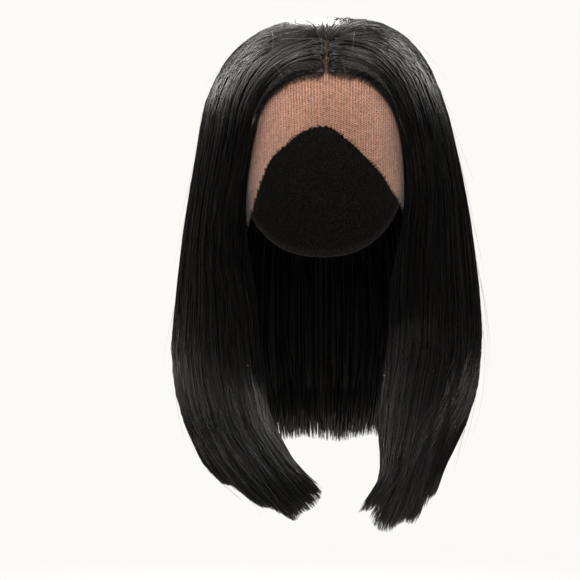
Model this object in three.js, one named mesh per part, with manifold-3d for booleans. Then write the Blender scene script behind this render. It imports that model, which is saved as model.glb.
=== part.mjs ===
// A shoulder-length bob wig with a lace front, in the form that it takes when worn.
// Millimetres, +Z up, the face towards -Y. The origin is where the crown rests on a head.
import * as THREE from 'three';
import { mergeVertices } from 'three/addons/utils/BufferGeometryUtils.js';
import Module from 'manifold-3d';

const wasm = await Module();
wasm.setup();

// The hollow for the head, a rounded form that is widest at its middle level
const HEAD_HALF_WIDTH = 75;
const HEAD_FRONT = 95;
const HEAD_BACK = 98;
const CROWN_RISE = 105;
const NAPE_DROP = 150;
const HEAD_ROUNDNESS = 2.25;

// The net base: a lace front, and behind it a stretch cap
const NET_WALL = 1.2;
const SEAM_PITCH = -3;
const EAR_LATERAL = 72;
const NET_STEPS = 8;
const NET_STEPS_BETWEEN_ROWS = 2;

// The pinked edge of the lace
const TOOTH_PITCH = 4.6;
const TOOTH_DEPTH = 1.8;
const TOOTH_LAND = 0.5;
const TEETH_LATERAL = 36;
const EDGE_STEPS = 600;

// The gap between pieces, and how far the hair's seat runs past the net's edges
const PIECE_GAP = 0.4;
const SEAT_MARGIN = 0.025;

// The hair's outer form, from the part and the hairline to the tips
const PART_WIDTH = 2.6;
const HAIRLINE_SETBACK = 10.5;
const HAIRLINE_HAIR = 4;
const CROWN_HAIR = 9;
const CROWN_WHORL = 1.5;
const SIDE_STAND = 50;
const FRONT_STAND = 11;
const BACK_STAND = 14;
const HAIR_DROP = 377;
const SIDE_SEAM = 5;

// How the hair rounds over the head on each side: how far round an oval, and how full beside it
const LEFT_DOME = { turn: 88, fullness: 1 };
const RIGHT_DOME = { turn: 65, fullness: 0.7 };
const DOME_STEPS = 7;

// How deep the hair is where it hangs free, and as a share of that on the head
const HAIR_WALL = 16;
const CROWN_WALL = 3;

// The locks, and the hair that backs them
const LOCK_RELIEF = 1.4;
const LOCK_EDGE_INSET = 1.4;
const LOCK_DEPTH = 6;
const LOCK_TAPER_FROM = 0.85;
const LOCK_TIP = 0.5;
const LOCK_STEPS = 3;
const BACKING_INSET = 2.6;
const BACKING_END = 0.975;
const BACKING_EDGE = 0.01;
const BACKING_STEPS = 7;
const FLOW_STEPS = 14;

const HAIR_HALF_WIDTH = HEAD_HALF_WIDTH + SIDE_STAND;
const FRONT_REACH = HEAD_FRONT + FRONT_STAND;
const BACK_REACH = HEAD_BACK + BACK_STAND;
const HAIR_SEAT = NET_WALL + PIECE_GAP;
const HEAD_MIDDLE = new THREE.Vector3(0, 0, -CROWN_RISE);

// Front panels from the temple level down, a row for each section. drop is a share of HAIR_DROP,
// edge (the face side) and side (the outer side) are shares of HAIR_HALF_WIDTH, fore is how far
// forward the face side lies in FRONT_REACH, and out how far the outer side has come forward from
// SIDE_SEAM to there. low and sag lower the outer side and the middle, in HAIR_DROP. wall is a
// share of HAIR_WALL.
const LEFT_PANEL = [
  { drop: 0.239, edge: 0.457, fore: 0.712, side: 0.8, out: 0, low: 0, sag: 0, wall: 1.9 },
  { drop: 0.329, edge: 0.52, fore: 0.642, side: 0.851, out: 0, low: 0, sag: 0, wall: 1.35 },
  { drop: 0.419, edge: 0.57, fore: 0.566, side: 0.896, out: 0, low: 0, sag: 0, wall: 1.1 },
  { drop: 0.504, edge: 0.565, fore: 0.538, side: 0.928, out: 0.01, low: 0, sag: 0, wall: 1 },
  { drop: 0.584, edge: 0.505, fore: 0.566, side: 0.948, out: 0.035, low: 0, sag: 0, wall: 1 },
  { drop: 0.674, edge: 0.485, fore: 0.623, side: 0.972, out: 0.1, low: 0, sag: 0, wall: 1 },
  { drop: 0.759, edge: 0.445, fore: 0.717, side: 0.94, out: 0.315, low: 0, sag: 0, wall: 1 },
  { drop: 0.822, edge: 0.39, fore: 0.811, side: 0.883, out: 0.46, low: 0, sag: 0, wall: 1 },
  { drop: 0.875, edge: 0.306, fore: 0.877, side: 0.805, out: 0.55, low: 0.005, sag: 0.006, wall: 0.9 },
  { drop: 0.912, edge: 0.182, fore: 0.943, side: 0.722, out: 0.62, low: 0.012, sag: 0.018, wall: 0.75 },
  { drop: 0.947, edge: 0.038, fore: 1, side: 0.51, out: 0.73, low: 0.034, sag: 0.045, wall: 0.5 },
];
const RIGHT_PANEL = [
  { drop: 0.239, edge: 0.481, fore: 0.68, side: 0.836, out: 0, low: 0, sag: 0, wall: 1.9 },
  { drop: 0.329, edge: 0.55, fore: 0.604, side: 0.893, out: 0, low: 0, sag: 0, wall: 1.35 },
  { drop: 0.419, edge: 0.51, fore: 0.575, side: 0.942, out: 0, low: 0, sag: 0, wall: 1.1 },
  { drop: 0.504, edge: 0.487, fore: 0.566, side: 0.974, out: 0.01, low: 0, sag: 0, wall: 1 },
  { drop: 0.584, edge: 0.475, fore: 0.566, side: 0.998, out: 0.035, low: 0, sag: 0, wall: 1 },
  { drop: 0.674, edge: 0.47, fore: 0.632, side: 1, out: 0.1, low: 0, sag: 0, wall: 1 },
  { drop: 0.759, edge: 0.412, fore: 0.717, side: 0.955, out: 0.315, low: 0, sag: 0, wall: 1 },
  { drop: 0.822, edge: 0.384, fore: 0.792, side: 0.883, out: 0.46, low: 0, sag: 0, wall: 1 },
  { drop: 0.875, edge: 0.376, fore: 0.849, side: 0.8, out: 0.55, low: 0, sag: 0.006, wall: 0.9 },
  { drop: 0.925, edge: 0.378, fore: 0.915, side: 0.735, out: 0.6, low: -0.015, sag: 0.025, wall: 0.8 },
  { drop: 1, edge: 0.262, fore: 0.962, side: 0.68, out: 0.66, low: -0.05, sag: 0.052, wall: 0.6 },
];

// The back hair at the same levels. spread is a share of the panels' side there, open how far the
// curtain's edge has drawn back from the panels towards rear, and rear is in BACK_REACH.
const BACK_CURTAIN = [
  { spread: 1, open: 0, rear: 0.955, sag: 0, wall: 1.9 },
  { spread: 1, open: 0, rear: 0.985, sag: 0, wall: 1.35 },
  { spread: 1, open: 0, rear: 0.98, sag: 0, wall: 1.1 },
  { spread: 1, open: 0.005, rear: 0.955, sag: 0, wall: 1 },
  { spread: 1, open: 0.02, rear: 0.925, sag: 0, wall: 1 },
  { spread: 0.985, open: 0.06, rear: 0.895, sag: 0, wall: 1 },
  { spread: 0.94, open: 0.2, rear: 0.87, sag: 0, wall: 0.95 },
  { spread: 0.93, open: 0.32, rear: 0.85, sag: 0.006, wall: 0.8 },
  { spread: 0.93, open: 0.4, rear: 0.835, sag: 0.02, wall: 0.55 },
];

// Where each lock ends, as a share of the way to the panel's last section, from the face side
const LEFT_LOCK_ENDS = [1, 0.99, 1, 0.985, 1, 0.975, 0.985];
const RIGHT_LOCK_ENDS = [0.985, 1, 0.99, 1, 0.97, 0.985, 0.965];
const BACK_LOCK_ENDS = [0.97, 0.99, 0.98, 1, 0.99, 1, 0.985, 1, 0.98, 0.965];

// The lace's free edge, in degrees: lateral runs from one ear (-) over the forehead to the other,
// and pitch is counted forward from straight up, about the line through the ears.
const LACE_EDGE = [
  { lateral: -1, pitch: 92 },
  { lateral: -0.84, pitch: 122 },
  { lateral: -0.68, pitch: 141 },
  { lateral: -0.57, pitch: 146 },
  { lateral: -0.52, pitch: 137 },
  { lateral: -0.49, pitch: 122 },
  { lateral: -0.46, pitch: 111.4 },
  { lateral: -0.38, pitch: 95.5 },
  { lateral: -0.27, pitch: 88.1 },
  { lateral: -0.13, pitch: 81 },
  { lateral: 0.015, pitch: 79.8 },
  { lateral: 0.11, pitch: 84.3 },
  { lateral: 0.215, pitch: 90.6 },
  { lateral: 0.375, pitch: 102.7 },
  { lateral: 0.45, pitch: 112.3 },
  { lateral: 0.52, pitch: 122 },
  { lateral: 0.56, pitch: 137 },
  { lateral: 0.61, pitch: 146 },
  { lateral: 0.7, pitch: 141 },
  { lateral: 0.84, pitch: 122 },
  { lateral: 1, pitch: 92 },
];

// The cap's edge at the nape and behind the ears, in the same degrees
const CAP_EDGE = [
  { lateral: -1, pitch: -50 },
  { lateral: -0.9, pitch: -84 },
  { lateral: -0.76, pitch: -108 },
  { lateral: -0.56, pitch: -124 },
  { lateral: -0.3, pitch: -130 },
  { lateral: 0, pitch: -131 },
  { lateral: 0.3, pitch: -130 },
  { lateral: 0.56, pitch: -124 },
  { lateral: 0.76, pitch: -108 },
  { lateral: 0.9, pitch: -84 },
  { lateral: 1, pitch: -50 },
];

// The two nets: each free edge, and the pitch of the seam that the two share but for a gap
const seamHalfAngle = THREE.MathUtils.radToDeg(PIECE_GAP / 2 / CROWN_RISE);
const LACE = { edge: LACE_EDGE, seam: SEAM_PITCH + seamHalfAngle };
const CAP = { edge: CAP_EDGE, seam: SEAM_PITCH - seamHalfAngle };

const lerp = THREE.MathUtils.lerp;
const radians = THREE.MathUtils.degToRad;
const clamp = THREE.MathUtils.clamp;
const shares = (steps) => Array.from({ length: steps + 1 }, (_, step) => step / steps);

// A solid from a closed geometry, turned to face out
function solidOf(geometry) {
  const bare = new THREE.BufferGeometry();
  bare.setAttribute('position', geometry.getAttribute('position'));
  bare.setIndex(geometry.getIndex());
  const merged = mergeVertices(bare, 1e-4);
  return new wasm.Manifold(new wasm.Mesh({
    numProp: 3,
    vertProperties: new Float32Array(merged.attributes.position.array),
    triVerts: new Uint32Array(merged.index.array),
  }));
}

function geometryOf(solid) {
  const mesh = solid.getMesh();
  const geometry = new THREE.BufferGeometry();
  geometry.setAttribute('position', new THREE.BufferAttribute(mesh.vertProperties, 3));
  geometry.setIndex(new THREE.BufferAttribute(mesh.triVerts, 1));
  geometry.computeVertexNormals();
  return geometry;
}

// Closes two grids of points, an outer and an inner wall, along their four edges
function closedWall(outer, inner) {
  const rows = outer.length;
  const columns = outer[0].length;
  const points = [...outer.flat(), ...inner.flat()];
  const at = (layer, row, column) => (layer * rows + row) * columns + column;
  const faces = [];
  const quad = (a, b, c, d) => faces.push(a, b, c, a, c, d);
  for (let row = 0; row < rows - 1; row += 1) {
    for (let column = 0; column < columns - 1; column += 1) {
      const [right, down] = [column + 1, row + 1];
      quad(at(0, row, column), at(0, row, right), at(0, down, right), at(0, down, column));
      quad(at(1, row, column), at(1, down, column), at(1, down, right), at(1, row, right));
    }
  }
  for (let row = 0; row < rows - 1; row += 1) {
    const last = columns - 1;
    quad(at(0, row, 0), at(0, row + 1, 0), at(1, row + 1, 0), at(1, row, 0));
    quad(at(0, row, last), at(1, row, last), at(1, row + 1, last), at(0, row + 1, last));
  }
  for (let column = 0; column < columns - 1; column += 1) {
    const last = rows - 1;
    quad(at(0, 0, column), at(1, 0, column), at(1, 0, column + 1), at(0, 0, column + 1));
    quad(at(0, last, column), at(0, last, column + 1), at(1, last, column + 1), at(1, last, column));
  }
  if (signedVolume(points, faces) < 0) faces.reverse();
  const geometry = new THREE.BufferGeometry().setFromPoints(points);
  geometry.setIndex(faces);
  return geometry;
}

function signedVolume(points, faces) {
  let sum = 0;
  for (let i = 0; i < faces.length; i += 3) {
    const [a, b, c] = [points[faces[i]], points[faces[i + 1]], points[faces[i + 2]]];
    sum += a.dot(new THREE.Vector3().crossVectors(b, c));
  }
  return sum / 6;
}

// How far the head's surface lies from a point inside it along a direction. The form follows
// |x/a|^p + |y/b|^p + |z/c|^p = 1, and level is the height already used up by the point.
function headReach(direction, level = 0) {
  const power = (value, half) => Math.abs(value / half) ** HEAD_ROUNDNESS;
  const length = direction.y < 0 ? HEAD_FRONT : HEAD_BACK;
  const height = direction.z > 0 ? CROWN_RISE : NAPE_DROP;
  const left = Math.max(0, 1 - power(level, NAPE_DROP));
  const used = power(direction.x, HEAD_HALF_WIDTH) + power(direction.y, length)
    + power(direction.z, height);
  return (left / used) ** (1 / HEAD_ROUNDNESS);
}

// A point over the head's surface, by its angles about the line through the ears
function overHead(pitch, lateral, offset) {
  const [forward, sideways] = [radians(pitch), radians(lateral)];
  const direction = new THREE.Vector3(
    Math.sin(sideways),
    -Math.cos(sideways) * Math.sin(forward),
    Math.cos(sideways) * Math.cos(forward),
  );
  return direction.clone().multiplyScalar(headReach(direction) + offset).add(HEAD_MIDDLE);
}

// The middle that a point of hair is measured from: the head's, or its own level below that
function middleOf(point) {
  return new THREE.Vector3(0, 0, Math.min(point.z, HEAD_MIDDLE.z));
}

// The same point moved along its own ray, to a distance worked out from its own and the head's
function alongRay(point, distance) {
  const middle = middleOf(point);
  const direction = point.clone().sub(middle);
  const own = direction.length();
  direction.divideScalar(own);
  const head = headReach(direction, middle.z - HEAD_MIDDLE.z);
  return direction.multiplyScalar(distance(own, head)).add(middle);
}

// A smooth curve through one column of a table, read at a share of its rows
function column(rows, name) {
  const curve = new THREE.CatmullRomCurve3(
    rows.map((row) => new THREE.Vector3(row[name], 0, 0)),
    false,
    'catmullrom',
    0.5,
  );
  return (share) => curve.getPoint(share).x;
}

// The free edge of the lace or cap: its rows joined by a smooth line, in degrees
function edgeLine(rows) {
  const [lateral, pitch] = [column(rows, 'lateral'), column(rows, 'pitch')];
  return (share) => ({ lateral: lateral(share) * EAR_LATERAL, pitch: pitch(share) });
}

// One face of a net, from the seam that crosses the crown to its free edge. A margin carries it
// on past all its edges, by that share of its size.
function netGrid(net, offset, margin = 0) {
  const edge = edgeLine(net.edge);
  const across = shares((net.edge.length - 1) * NET_STEPS_BETWEEN_ROWS).map(edge);
  const down = shares(NET_STEPS);
  if (margin) {
    const widened = (end) => ({ ...end, lateral: end.lateral * (1 + margin) });
    across.unshift(widened(across[0]));
    across.push(widened(across.at(-1)));
    down.unshift(-margin);
    down.push(1 + margin);
  }
  return down.map((way) => (
    across.map(({ lateral, pitch }) => overHead(lerp(net.seam, pitch, way), lateral, offset))
  ));
}

function netWall(net) {
  return solidOf(closedWall(netGrid(net, NET_WALL), netGrid(net, 0)));
}

// What the hair is hollowed out with: the net and a small gap all round it
function netSeat(net) {
  const inside = -HEAD_HALF_WIDTH / 4;
  return solidOf(closedWall(netGrid(net, HAIR_SEAT, SEAT_MARGIN), netGrid(net, inside, SEAT_MARGIN)));
}

// One V-shaped cutter of the pinked edge, standing on the lace's surface
function notch(here, next) {
  const tangent = next.clone().sub(here).normalize();
  const normal = here.clone().sub(HEAD_MIDDLE).normalize();
  const outward = new THREE.Vector3().crossVectors(normal, tangent).normalize();
  normal.crossVectors(tangent, outward);
  const half = (TOOTH_PITCH - TOOTH_LAND) / 2;
  const outline = new THREE.Shape([
    new THREE.Vector2(-2 * half, -TOOTH_DEPTH),
    new THREE.Vector2(2 * half, -TOOTH_DEPTH),
    new THREE.Vector2(0, TOOTH_DEPTH),
  ]);
  const depth = NET_WALL * 6;
  const cutter = new THREE.ExtrudeGeometry(outline, { depth, bevelEnabled: false });
  cutter.translate(0, 0, -depth / 2);
  const place = new THREE.Matrix4().makeBasis(tangent, outward, normal).setPosition(here);
  return solidOf(cutter.applyMatrix4(place));
}

// The lace front, its free edge cut with pinking shears where it lies on the forehead
function laceFront() {
  const edge = edgeLine(LACE_EDGE);
  const fine = shares(EDGE_STEPS).map((share) => edge(share))
    .filter(({ lateral }) => Math.abs(lateral) < TEETH_LATERAL)
    .map(({ lateral, pitch }) => overHead(pitch, lateral, NET_WALL / 2));
  const line = new THREE.CatmullRomCurve3(fine);
  line.arcLengthDivisions = EDGE_STEPS * 4;
  const teeth = Math.round(line.getLength() / TOOTH_PITCH);
  const stations = line.getSpacedPoints(teeth * 2);
  let cut = netWall(LACE);
  for (let tooth = 1; tooth < stations.length - 1; tooth += 2) {
    cut = cut.subtract(notch(stations[tooth], stations[tooth + 1]));
  }
  return cut;
}

// How high the hair's roots start, over the head at this distance in front of or behind its middle
function rootHeight(y, hair) {
  const reach = Math.abs(y / (y < 0 ? HEAD_FRONT : HEAD_BACK));
  const rise = CROWN_RISE * (1 - reach ** HEAD_ROUNDNESS) ** (1 / HEAD_ROUNDNESS);
  return HEAD_MIDDLE.z + rise + HAIR_SEAT + hair;
}

// The upper part of a flow line: part of an oval from its root to the temple level
function domeStations(root, temple, dome) {
  const turn = radians(dome.turn);
  return shares(DOME_STEPS).slice(0, -1).map((share) => {
    const angle = share * turn;
    const away = (Math.sin(angle) / Math.sin(turn)) ** dome.fullness;
    const level = (Math.cos(angle) - Math.cos(turn)) / (1 - Math.cos(turn));
    return new THREE.Vector3(
      lerp(root.x, temple.x, away),
      lerp(root.y, temple.y, away),
      lerp(temple.z, root.z, level),
    );
  });
}

// A point of a front panel's section: a quarter of an oval from the face side to the outer side
function panelStation(row, across, side) {
  const angle = across * Math.PI / 2;
  const edge = { x: row.edge * HAIR_HALF_WIDTH, y: -row.fore * FRONT_REACH };
  const outer = {
    x: row.side * HAIR_HALF_WIDTH,
    y: SIDE_SEAM - row.out * (FRONT_REACH + SIDE_SEAM),
  };
  const sag = row.sag * Math.sin(Math.PI * Math.sqrt(across));
  return new THREE.Vector3(
    side * lerp(edge.x, outer.x, Math.sin(angle)),
    lerp(outer.y, edge.y, Math.cos(angle)),
    -(row.drop + row.low * across + sag) * HAIR_DROP,
  );
}

// The flow of a front panel: for a way across it, the points from the part or hairline to a tip
function panelFlow(rows, side, dome) {
  return (across) => {
    const sections = rows.map((row) => panelStation(row, across, side));
    const y = lerp(HAIRLINE_SETBACK - HEAD_FRONT, SIDE_SEAM, across);
    const z = rootHeight(y, lerp(HAIRLINE_HAIR, CROWN_HAIR, across));
    const root = new THREE.Vector3(side * PART_WIDTH / 2, y, z);
    return [...domeStations(root, sections[0], dome), ...sections];
  };
}

// A point of the back curtain's section: half an oval round the back of the neck
function backStation(row, index, across) {
  const angle = (2 * across - 1) * Math.PI / 2;
  const panel = (angle < 0 ? LEFT_PANEL : RIGHT_PANEL)[index];
  const rear = row.rear * BACK_REACH;
  const start = lerp(SIDE_SEAM + PIECE_GAP, rear, row.open);
  return new THREE.Vector3(
    Math.sin(angle) * row.spread * panel.side * HAIR_HALF_WIDTH,
    lerp(start, rear, Math.cos(angle)),
    -(panel.drop + row.sag * Math.cos(angle)) * HAIR_DROP,
  );
}

// The flow of the back curtain, from the crown out and down
function backFlow(across) {
  const sections = BACK_CURTAIN.map((row, index) => backStation(row, index, across));
  const angle = (2 * across - 1) * Math.PI / 2;
  const root = new THREE.Vector3(
    Math.sin(angle) * CROWN_WHORL,
    SIDE_SEAM + PIECE_GAP + Math.cos(angle) * CROWN_WHORL,
    rootHeight(SIDE_SEAM, CROWN_HAIR),
  );
  const dome = {
    turn: lerp(LEFT_DOME.turn, RIGHT_DOME.turn, across),
    fullness: lerp(LEFT_DOME.fullness, RIGHT_DOME.fullness, across),
  };
  return [...domeStations(root, sections[0], dome), ...sections];
}

// A section of hair: its outer surface, and how deep it is, by the way across and the way along
function hairSection(flow, rows) {
  const wallAlong = column([...Array(DOME_STEPS).fill({ wall: CROWN_WALL }), ...rows], 'wall');
  const surface = (across, along) => {
    const line = new THREE.CatmullRomCurve3(flow(across), false, 'catmullrom', 0.5);
    const least = HAIR_SEAT + HAIRLINE_HAIR;
    return alongRay(line.getPoint(along), (own, head) => Math.max(own, head + least));
  };
  const under = (point, depth) => alongRay(point, (own, head) => Math.max(own - depth, head));
  const at = (across, along, depth) => under(surface(across, along), depth);
  const wall = (along) => wallAlong(along) * HAIR_WALL;
  return { at, wall };
}

// The hair under the locks, down to the head or to the free inner side
function backing(section) {
  const grid = (depth) => shares(FLOW_STEPS).map((share) => {
    const along = share * BACKING_END;
    return shares(BACKING_STEPS).map((way) => {
      const across = lerp(BACKING_EDGE, 1 - BACKING_EDGE, way);
      return section.at(across, along, depth(along));
    });
  });
  return solidOf(closedWall(grid(() => BACKING_INSET), grid(section.wall)));
}

// One lock: a crowned strip along the flow, side by side with the next until they thin to tips
function lock(section, index, ends) {
  const grid = (depth) => shares(FLOW_STEPS).map((share) => {
    const taper = clamp((share - LOCK_TAPER_FROM) / (1 - LOCK_TAPER_FROM), 0, 1);
    const along = share * lerp(1, ends[index], taper);
    const size = lerp(1, LOCK_TIP, taper);
    return shares(LOCK_STEPS).map((strip) => {
      const across = (index + 0.5 + (strip - 0.5) * size) / ends.length;
      return section.at(across, along, depth(along, strip, taper));
    });
  });
  const face = (along, strip) => (
    lerp(LOCK_EDGE_INSET, -LOCK_RELIEF * Math.sqrt(along), 4 * strip * (1 - strip))
  );
  const reverse = (along, strip, taper) => LOCK_EDGE_INSET + LOCK_DEPTH * (1 - taper / 2);
  return solidOf(closedWall(grid(face), grid(reverse)));
}

// A section of hair as one solid: its locks fused to their backing, seated on the net
function hair(flow, rows, ends) {
  const section = hairSection(flow, rows);
  const locks = ends.map((_, index) => lock(section, index, ends));
  const fused = locks.reduce((body, next) => body.add(next)).add(backing(section));
  return fused.subtract(netSeat(LACE)).subtract(netSeat(CAP));
}

const hairMaterial = new THREE.MeshStandardMaterial({ color: 0x121112, roughness: 0.42 });
const laceMaterial = new THREE.MeshStandardMaterial({ color: 0xc39a80, roughness: 0.85 });
const capMaterial = new THREE.MeshStandardMaterial({ color: 0x1a1918, roughness: 0.9 });

function piece(name, solid, material) {
  const mesh = new THREE.Mesh(geometryOf(solid), material);
  mesh.name = name;
  return mesh;
}

const leftFlow = panelFlow(LEFT_PANEL, -1, LEFT_DOME);
const rightFlow = panelFlow(RIGHT_PANEL, 1, RIGHT_DOME);
const wig = new THREE.Group();
wig.add(
  piece('lace_front', laceFront(), laceMaterial),
  piece('cap', netWall(CAP), capMaterial),
  piece('hair_left', hair(leftFlow, LEFT_PANEL, LEFT_LOCK_ENDS), hairMaterial),
  piece('hair_right', hair(rightFlow, RIGHT_PANEL, RIGHT_LOCK_ENDS), hairMaterial),
  piece('hair_back', hair(backFlow, BACK_CURTAIN, BACK_LOCK_ENDS), hairMaterial),
);

export default wig;
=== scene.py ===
"""A shoulder-length bob wig with a lace front: its strands, lace and cap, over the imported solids."""

import math

import bpy
import numpy as np
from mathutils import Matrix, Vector


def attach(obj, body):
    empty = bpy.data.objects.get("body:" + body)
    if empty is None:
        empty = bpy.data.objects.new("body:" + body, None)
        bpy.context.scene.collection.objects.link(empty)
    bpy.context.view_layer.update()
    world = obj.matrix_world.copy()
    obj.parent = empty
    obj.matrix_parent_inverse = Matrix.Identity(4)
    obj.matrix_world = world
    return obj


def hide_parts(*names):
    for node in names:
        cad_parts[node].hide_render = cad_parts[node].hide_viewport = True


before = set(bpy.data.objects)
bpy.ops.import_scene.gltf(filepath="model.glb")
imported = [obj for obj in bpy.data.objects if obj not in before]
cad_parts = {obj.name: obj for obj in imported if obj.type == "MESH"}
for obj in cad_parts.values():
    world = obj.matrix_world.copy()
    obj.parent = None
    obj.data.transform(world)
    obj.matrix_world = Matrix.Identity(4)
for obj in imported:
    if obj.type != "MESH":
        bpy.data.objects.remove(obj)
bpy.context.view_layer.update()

# The camera, in metres: level with the middle of the hair, and the size of its picture
CAMERA_PLACE = (-0.0274, -1.48, -0.21)
FOCAL_PIXELS = 1842
PICTURE_PIXELS = 580
SENSOR_WIDTH_MM = 36

# The hollow for the head, as the part's source has it, in metres
HEAD_HALF_WIDTH = 0.075
HEAD_FRONT = 0.095
HEAD_BACK = 0.098
CROWN_RISE = 0.105
NAPE_DROP = 0.15
HEAD_ROUNDNESS = 2.25
HEAD_MIDDLE = np.array([0, 0, -CROWN_RISE])

# The net base and its edges, in metres and degrees
NET_WALL = 0.0012
PIECE_GAP = 0.0004
HAIR_SEAT = NET_WALL + PIECE_GAP
SEAM_PITCH = -3
EAR_LATERAL = 72
TOOTH_PITCH = 0.0046
TOOTH_DEPTH = 0.0018
TEETH_LATERAL = 36

# The hair's outer form, in metres
PART_WIDTH = 0.0026
HAIRLINE_SETBACK = 0.0105
HAIRLINE_HAIR = 0.004
CROWN_HAIR = 0.009
CROWN_WHORL = 0.0015
HAIR_HALF_WIDTH = HEAD_HALF_WIDTH + 0.05
FRONT_REACH = HEAD_FRONT + 0.011
BACK_REACH = HEAD_BACK + 0.014
HAIR_DROP = 0.377
SIDE_SEAM = 0.005
LEFT_DOME = (88, 1)
RIGHT_DOME = (65, 0.7)
DOME_STEPS = 7
HAIR_WALL = 0.016
CROWN_WALL = 3
LOCK_RELIEF = 0.0014
LOCK_EDGE_INSET = 0.0014

# Where the part ends in a whorl, in shares of the ways across the hair and along it
WHORL_ACROSS = 0.21
WHORL_FADE = 0.05
FAN_REACH = 0.12

# How deep the crown settles and how far the dome swells, in metres, and where along the flow
CROWN_SINK = 0.0026
SINK_FADE = (0.02, 0.22)
DOME_SWELL = 0.0008
SWELL_RISE = (0.04, 0.14)
SWELL_FADE = (0.2, 0.36)

# How the tips of the front panels spread or draw in: by how much, away from where, and by depth
RIGHT_FLARE = (0.15, 1, 1.1)
LEFT_FLARE = (-0.24, 0, 0)
NO_FLARE = (0, 0, 0)
FLARE_RANGE = (0.85, 1.02)

# How far strands lap over the seam at the crown, in how wide a band, and where along the flow that ends
SEAM_LAP = 0.035
SEAM_BAND = 0.2
LAP_FADE = (0.1, 0.3)


def table(columns, rows):
    """A table with named columns, as one array for each name."""
    return dict(zip(columns.split(), np.array(rows, float).T))


# The sections of the hair from the temple level down, in the shares that the part's source uses
PANEL_COLUMNS = "drop edge fore side out low sag wall"
LEFT_PANEL = table(PANEL_COLUMNS, [
    (0.239, 0.457, 0.712, 0.8, 0, 0, 0, 1.9),
    (0.329, 0.52, 0.642, 0.851, 0, 0, 0, 1.35),
    (0.419, 0.57, 0.566, 0.896, 0, 0, 0, 1.1),
    (0.504, 0.565, 0.538, 0.928, 0.01, 0, 0, 1),
    (0.584, 0.505, 0.566, 0.948, 0.035, 0, 0, 1),
    (0.674, 0.485, 0.623, 0.972, 0.1, 0, 0, 1),
    (0.759, 0.445, 0.717, 0.94, 0.315, 0, 0, 1),
    (0.822, 0.39, 0.811, 0.883, 0.46, 0, 0, 1),
    (0.875, 0.306, 0.877, 0.805, 0.55, 0.005, 0.006, 0.9),
    (0.912, 0.182, 0.943, 0.722, 0.62, 0.012, 0.018, 0.75),
    (0.947, 0.038, 1, 0.51, 0.73, 0.034, 0.045, 0.5),
])
RIGHT_PANEL = table(PANEL_COLUMNS, [
    (0.239, 0.481, 0.68, 0.836, 0, 0, 0, 1.9),
    (0.329, 0.55, 0.604, 0.893, 0, 0, 0, 1.35),
    (0.419, 0.51, 0.575, 0.942, 0, 0, 0, 1.1),
    (0.504, 0.487, 0.566, 0.974, 0.01, 0, 0, 1),
    (0.584, 0.475, 0.566, 0.998, 0.035, 0, 0, 1),
    (0.674, 0.47, 0.632, 1, 0.1, 0, 0, 1),
    (0.759, 0.412, 0.717, 0.955, 0.315, 0, 0, 1),
    (0.822, 0.384, 0.792, 0.883, 0.46, 0, 0, 1),
    (0.875, 0.376, 0.849, 0.8, 0.55, 0, 0.006, 0.9),
    (0.925, 0.378, 0.915, 0.735, 0.6, -0.015, 0.025, 0.8),
    (1, 0.262, 0.962, 0.68, 0.66, -0.05, 0.052, 0.6),
])
BACK_CURTAIN = table("spread open rear sag wall", [
    (1, 0, 0.955, 0, 1.9),
    (1, 0, 0.985, 0, 1.35),
    (1, 0, 0.98, 0, 1.1),
    (1, 0.005, 0.955, 0, 1),
    (1, 0.02, 0.925, 0, 1),
    (0.985, 0.06, 0.895, 0, 1),
    (0.94, 0.2, 0.87, 0, 0.95),
    (0.93, 0.32, 0.85, 0.006, 0.8),
    (0.93, 0.4, 0.835, 0.02, 0.55),
])
LEFT_LOCK_ENDS = (1, 0.99, 1, 0.985, 1, 0.975, 0.985)
RIGHT_LOCK_ENDS = (0.985, 1, 0.99, 1, 0.97, 0.985, 0.965)
BACK_LOCK_ENDS = (0.97, 0.99, 0.98, 1, 0.99, 1, 0.985, 1, 0.98, 0.965)

# How much longer or shorter the strands of each front lock are than its solid, in shares of the flow
LEFT_TRIM = (0, 0.008, 0.008, 0.002, -0.012, -0.018, -0.026)
RIGHT_TRIM = (0.006, -0.006, -0.006, -0.004, 0.006, 0, 0)

# The free edges of the lace and the cap, in shares of EAR_LATERAL and degrees of pitch
LACE_EDGE = table("lateral pitch", [
    (-1, 92), (-0.84, 122), (-0.68, 141), (-0.57, 146), (-0.52, 137), (-0.49, 122), (-0.46, 111.4),
    (-0.38, 95.5), (-0.27, 88.1), (-0.13, 81), (0.015, 79.8), (0.11, 84.3), (0.215, 90.6),
    (0.375, 102.7), (0.45, 112.3), (0.52, 122), (0.56, 137), (0.61, 146), (0.7, 141),
    (0.84, 122), (1, 92),
])
CAP_EDGE = table("lateral pitch", [
    (-1, -50), (-0.9, -84), (-0.76, -108), (-0.56, -124), (-0.3, -130), (0, -131),
    (0.3, -130), (0.56, -124), (0.76, -108), (0.9, -84), (1, -50),
])


SMALLEST_LENGTH = 1e-12


def lerp(start, end, share):
    return start + (end - start) * share


def smooth(value, low, high):
    """0 below low, 1 above high, and a soft step between."""
    share = np.clip((value - low) / (high - low), 0, 1)
    return share * share * (3 - 2 * share)


def unit(vectors):
    return vectors / np.maximum(np.linalg.norm(vectors, axis=-1, keepdims=True), SMALLEST_LENGTH)


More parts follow.
